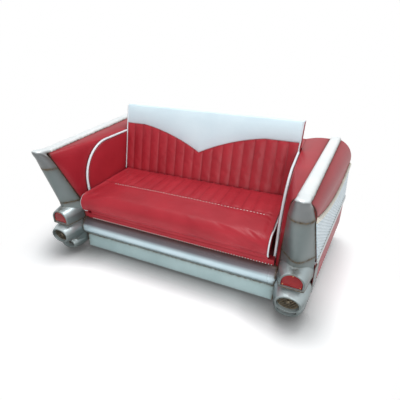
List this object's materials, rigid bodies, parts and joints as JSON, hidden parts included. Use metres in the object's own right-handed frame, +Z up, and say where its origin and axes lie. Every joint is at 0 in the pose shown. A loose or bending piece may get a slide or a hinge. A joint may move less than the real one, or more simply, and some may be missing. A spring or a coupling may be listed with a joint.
{
  "type": "car tail sofa",
  "caption": "Upholstered bench between car tail fins with lamps, ported bumper ends, a rolled bumper bar, fluted side inserts and a channelled back.",
  "frame": {"origin": "centre of the part's box, on the floor", "axes": "+X to the right as seen from the front, -Y to the front, +Z up"},
  "size_m": [1.9726, 1.0553, 0.9143],
  "materials": {
    "red_leather": "satin red upholstery leather",
    "white_leather": "satin white upholstery leather",
    "white_welt": "white leather piping",
    "red_paint": "gloss red paint",
    "silver_paint": "silver paint with brown wash in the seams",
    "pale_strip": "bright silver paint",
    "cream_trim": "cream paint",
    "steel_trim": "brushed steel",
    "fluted_blue": "fluted sheet, pale blue-white",
    "red_lens": "gloss red plastic",
    "dark_grille": "dark bronze",
    "plywood": "plain plywood",
    "frame_paint": "black paint",
    "black_rubber": "matt",
    "back_fabric": "woven dust cover"
  },
  "bodies": {
    "sofa": {"base_frame": "frame_paint", "feet": "black_rubber", "seat_deck": "plywood", "back_channel_pad": "red_leather", "back_white_pad": "white_leather", "back_board": "plywood", "back_cover": "back_fabric", "back_frame": "frame_paint", "rear_shelf": "red_paint", "rear_panel": "red_paint", "apron_pad": "red_leather", "bumper_bar": "silver_paint", "valance": "silver_paint", "left_arm_frame": "frame_paint", "left_back_piping": "white_welt", "left_arm_pad": "red_leather", "left_arm_piping": "white_welt", "left_fin_trim": "silver_paint", "left_fin_cap": "silver_paint", "left_fin_strip": "pale_strip", "left_fin_inner_skin": "red_paint", "left_side_panel": "red_paint", "left_sill_panel": "red_paint", "left_bumper_wrap": "silver_paint", "left_upper_moulding": "cream_trim", "left_lower_moulding": "steel_trim", "left_fluted_insert": "fluted_blue", "left_lamp_housing": "silver_paint", "left_lamp_lens": "red_lens", "left_bumper_end": "silver_paint", "left_port_grille": "dark_grille", "left_end_bracket": "frame_paint", "right_arm_frame": "frame_paint", "right_back_piping": "white_welt", "right_arm_pad": "red_leather", "right_arm_piping": "white_welt", "right_fin_trim": "silver_paint", "right_fin_cap": "silver_paint", "right_fin_strip": "pale_strip", "right_fin_inner_skin": "red_paint", "right_side_panel": "red_paint", "right_sill_panel": "red_paint", "right_bumper_wrap": "silver_paint", "right_upper_moulding": "cream_trim", "right_lower_moulding": "steel_trim", "right_fluted_insert": "fluted_blue", "right_lamp_housing": "silver_paint", "right_lamp_lens": "red_lens", "right_bumper_end": "silver_paint", "right_port_grille": "dark_grille", "right_end_bracket": "frame_paint"},
    "seat": {"seat_cushion": "red_leather", "seat_board": "plywood", "left_seat_piping": "white_welt", "right_seat_piping": "white_welt"}
  },
  "joints": [
    {"name": "seat_lift", "type": "slide", "parent": "sofa", "child": "seat", "axis": [0, 0, 1], "range_m": [0, 0.5]}
  ]
}
